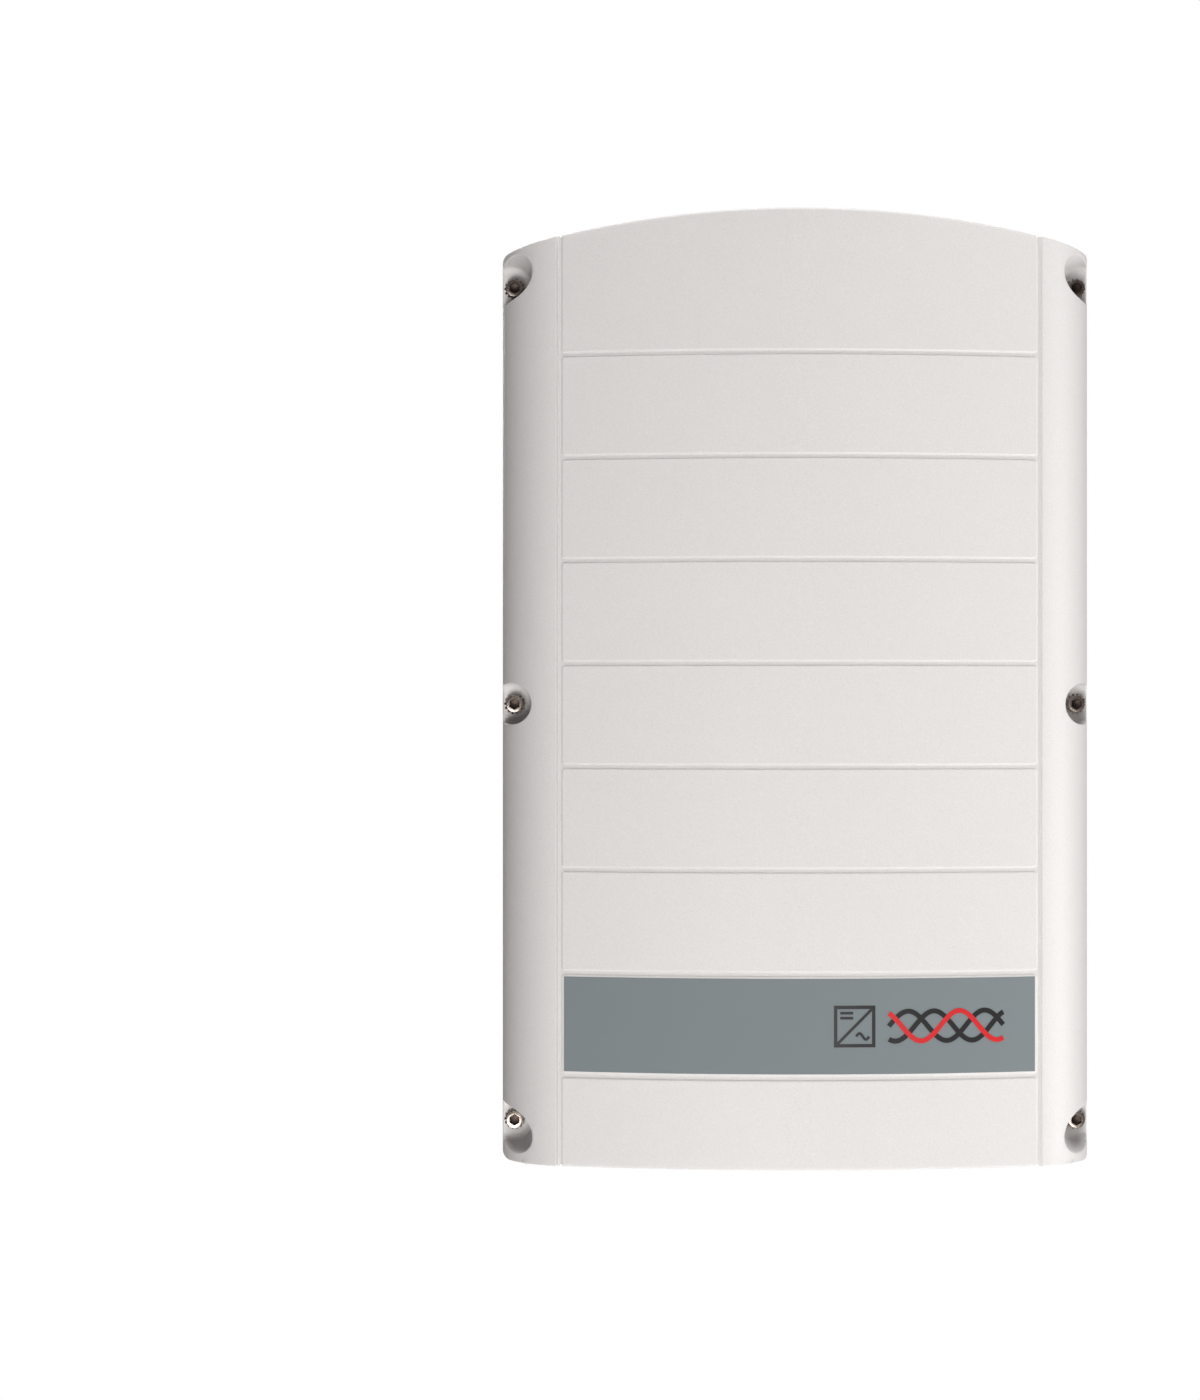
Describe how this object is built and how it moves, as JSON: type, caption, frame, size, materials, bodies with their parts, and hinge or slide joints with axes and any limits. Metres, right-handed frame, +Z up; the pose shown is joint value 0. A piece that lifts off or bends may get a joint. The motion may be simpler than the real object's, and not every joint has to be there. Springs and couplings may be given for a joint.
{
  "type": "string inverter",
  "caption": "Wall-mounted string inverter: domed die-cast cover over a cast tub with a finned heat sink, power electronics, cable entries underneath and a hook-on wall bracket.",
  "frame": {"origin": "centre of the wall bracket's back face, on the wall", "axes": "+Z up, the front cover faces -Y, +X to the right seen from the front"},
  "size_m": [0.315, 0.191, 0.503],
  "materials": {
    "powder_coat": "fine-grained powder coat, satin",
    "cast_housing": "powder-coated die casting",
    "extruded_aluminium": "clear anodised extrusion",
    "stainless_steel": "bright stainless",
    "galvanised_sheet": "galvanised sheet",
    "label_film": "matt printed film",
    "black_rubber": "moulded silicone rubber",
    "black_plastic": "fine moulded texture",
    "grey_plastic": "moulded nylon",
    "green_plastic": "moulded nylon",
    "circuit_board": "solder mask",
    "enamelled_copper": "enamelled winding",
    "capacitor_sleeve": "shrunk sleeve",
    "red_cable": "cable sheath",
    "black_cable": "cable sheath"
  },
  "bodies": {
    "bracket": {"wall_bracket": "galvanised_sheet"},
    "enclosure": {"ac_filter_choke": "enamelled_copper", "ac_gland_body": "grey_plastic", "ac_gland_seal": "black_rubber", "ac_terminal_block": "grey_plastic", "boost_inductor_1": "enamelled_copper", "boost_inductor_2": "enamelled_copper", "boost_module": "black_plastic", "control_board": "circuit_board", "control_tray": "grey_plastic", "data_gland_body": "grey_plastic", "data_gland_seal": "black_rubber", "dc_lead_1": "red_cable", "dc_lead_2": "black_cable", "dc_lead_3": "red_cable", "dc_lead_4": "black_cable", "dc_socket_1": "black_plastic", "dc_socket_2": "black_plastic", "dc_socket_3": "black_plastic", "dc_socket_4": "black_plastic", "dc_switch_body": "grey_plastic", "dc_terminal_block": "green_plastic", "enclosure_tub": "cast_housing", "fan_frame": "black_plastic", "grid_relay": "black_plastic", "ground_stud": "stainless_steel", "hanging_rail": "galvanised_sheet", "heat_sink": "extruded_aluminium", "inverter_module": "black_plastic", "link_capacitor_1": "capacitor_sleeve", "link_capacitor_2": "capacitor_sleeve", "link_capacitor_3": "capacitor_sleeve", "monitoring_port": "black_plastic", "output_inductor_1": "enamelled_copper", "output_inductor_2": "enamelled_copper", "output_inductor_3": "enamelled_copper", "power_board": "circuit_board", "ribbon_cable": "grey_plastic", "surge_arrester": "green_plastic", "vent_plug": "black_plastic"},
    "cover": {"front_cover": "powder_coat", "label_strip": "label_film", "cover_gasket": "black_rubber"},
    "fan": {"fan_rotor": "black_plastic"},
    "switch": {"dc_switch_knob": "black_plastic"},
    "ac_nut": {"ac_gland_nut": "grey_plastic"},
    "data_nut": {"data_gland_nut": "grey_plastic"},
    "cap": {"port_cap": "black_rubber"},
    "washer_top_left": {"washer_top_left": "stainless_steel"},
    "screw_top_left": {"cover_screw_top_left": "stainless_steel"},
    "washer_top_right": {"washer_top_right": "stainless_steel"},
    "screw_top_right": {"cover_screw_top_right": "stainless_steel"},
    "washer_middle_left": {"washer_middle_left": "stainless_steel"},
    "screw_middle_left": {"cover_screw_middle_left": "stainless_steel"},
    "washer_middle_right": {"washer_middle_right": "stainless_steel"},
    "screw_middle_right": {"cover_screw_middle_right": "stainless_steel"},
    "washer_bottom_left": {"washer_bottom_left": "stainless_steel"},
    "screw_bottom_left": {"cover_screw_bottom_left": "stainless_steel"},
    "washer_bottom_right": {"washer_bottom_right": "stainless_steel"},
    "screw_bottom_right": {"cover_screw_bottom_right": "stainless_steel"}
  },
  "joints": [
    {"name": "hang_lift", "type": "slide", "parent": "bracket", "child": "enclosure", "axis": [0, 0, 1], "range_m": [0, 0.016]},
    {"name": "cover_off", "type": "slide", "parent": "enclosure", "child": "cover", "axis": [0, -1, 0], "range_m": [0, 0.12]},
    {"name": "fan_spin", "type": "hinge", "parent": "enclosure", "child": "fan", "pos_m": [0.098, -0.118, 0.01], "axis": [0, 0, 1], "continuous": true},
    {"name": "switch_turn", "type": "hinge", "parent": "enclosure", "child": "switch", "pos_m": [-0.022, -0.0865, -0.312], "axis": [0, 0, 1], "range_deg": [0, 90]},
    {"name": "ac_nut_turn", "type": "hinge", "parent": "enclosure", "child": "ac_nut", "pos_m": [0.056, -0.0865, -0.32], "axis": [0, 0, -1], "range_deg": [0, 720]},
    {"name": "data_nut_turn", "type": "hinge", "parent": "enclosure", "child": "data_nut", "pos_m": [0.016, -0.0865, -0.32], "axis": [0, 0, -1], "range_deg": [0, 720]},
    {"name": "cap_pull", "type": "slide", "parent": "enclosure", "child": "cap", "axis": [0, 0, -1], "range_m": [0, 0.015]},
    {"name": "back_off_top_left", "type": "slide", "parent": "cover", "child": "washer_top_left", "axis": [0, -1, 0], "range_m": [0, 0.01]},
    {"name": "turn_top_left", "type": "hinge", "parent": "washer_top_left", "child": "screw_top_left", "pos_m": [-0.1509, -0.126, 0.1239], "axis": [0, -1, 0], "range_deg": [0, 3601]},
    {"name": "back_off_top_right", "type": "slide", "parent": "cover", "child": "washer_top_right", "axis": [0, -1, 0], "range_m": [0, 0.01]},
    {"name": "turn_top_right", "type": "hinge", "parent": "washer_top_right", "child": "screw_top_right", "pos_m": [0.1509, -0.126, 0.1239], "axis": [0, -1, 0], "range_deg": [0, 3601]},
    {"name": "back_off_middle_left", "type": "slide", "parent": "cover", "child": "washer_middle_left", "axis": [0, -1, 0], "range_m": [0, 0.01]},
    {"name": "turn_middle_left", "type": "hinge", "parent": "washer_middle_left", "child": "screw_middle_left", "pos_m": [-0.1509, -0.126, -0.0994], "axis": [0, -1, 0], "range_deg": [0, 3601]},
    {"name": "back_off_middle_right", "type": "slide", "parent": "cover", "child": "washer_middle_right", "axis": [0, -1, 0], "range_m": [0, 0.01]},
    {"name": "turn_middle_right", "type": "hinge", "parent": "washer_middle_right", "child": "screw_middle_right", "pos_m": [0.1509, -0.126, -0.0994], "axis": [0, -1, 0], "range_deg": [0, 3601]},
    {"name": "back_off_bottom_left", "type": "slide", "parent": "cover", "child": "washer_bottom_left", "axis": [0, -1, 0], "range_m": [0, 0.01]},
    {"name": "turn_bottom_left", "type": "hinge", "parent": "washer_bottom_left", "child": "screw_bottom_left", "pos_m": [-0.1509, -0.126, -0.3227], "axis": [0, -1, 0], "range_deg": [0, 3601]},
    {"name": "back_off_bottom_right", "type": "slide", "parent": "cover", "child": "washer_bottom_right", "axis": [0, -1, 0], "range_m": [0, 0.01]},
    {"name": "turn_bottom_right", "type": "hinge", "parent": "washer_bottom_right", "child": "screw_bottom_right", "pos_m": [0.1509, -0.126, -0.3227], "axis": [0, -1, 0], "range_deg": [0, 3601]}
  ],
  "couplings": [
    {"joint": "turn_top_left", "follows": "back_off_top_left", "rad_per_m": 6283.2},
    {"joint": "turn_top_right", "follows": "back_off_top_right", "rad_per_m": 6283.2},
    {"joint": "turn_middle_left", "follows": "back_off_middle_left", "rad_per_m": 6283.2},
    {"joint": "turn_middle_right", "follows": "back_off_middle_right", "rad_per_m": 6283.2},
    {"joint": "turn_bottom_left", "follows": "back_off_bottom_left", "rad_per_m": 6283.2},
    {"joint": "turn_bottom_right", "follows": "back_off_bottom_right", "rad_per_m": 6283.2}
  ]
}
